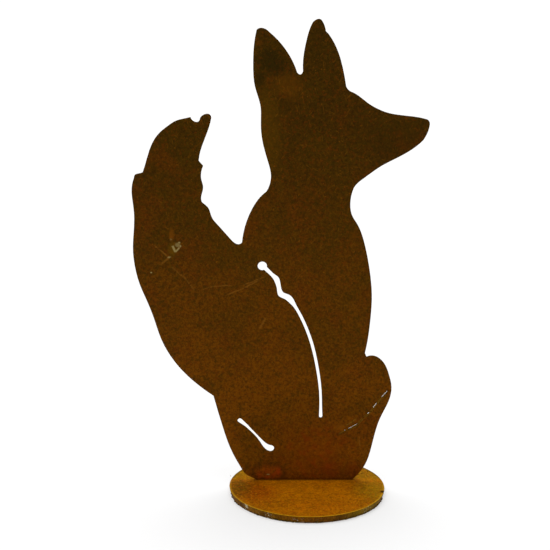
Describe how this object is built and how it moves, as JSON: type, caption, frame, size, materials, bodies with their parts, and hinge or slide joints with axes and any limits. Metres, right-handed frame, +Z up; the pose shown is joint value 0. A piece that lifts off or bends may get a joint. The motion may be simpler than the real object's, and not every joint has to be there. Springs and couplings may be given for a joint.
{
  "type": "garden silhouette figure",
  "caption": "Sitting fox silhouette cut from rusted sheet steel, drawn with fine slits, welded upright on a round steel foot plate.",
  "frame": {"origin": "centre of the round foot plate's underside", "axes": "+Z up; +X the way the fox looks; the sheet's front face looks along -Y"},
  "size_m": [0.2387, 0.1298, 0.394],
  "materials": {
    "rusted_sheet": "matt rust patina",
    "rusted_plate": "matt rust patina, more orange",
    "rusted_weld": "matt rust over a rippled bead"
  },
  "bodies": {
    "root": {"fox_silhouette": "rusted_sheet", "foot_plate": "rusted_plate", "weld_bead_left": "rusted_weld", "weld_bead_right": "rusted_weld"}
  },
  "joints": []
}
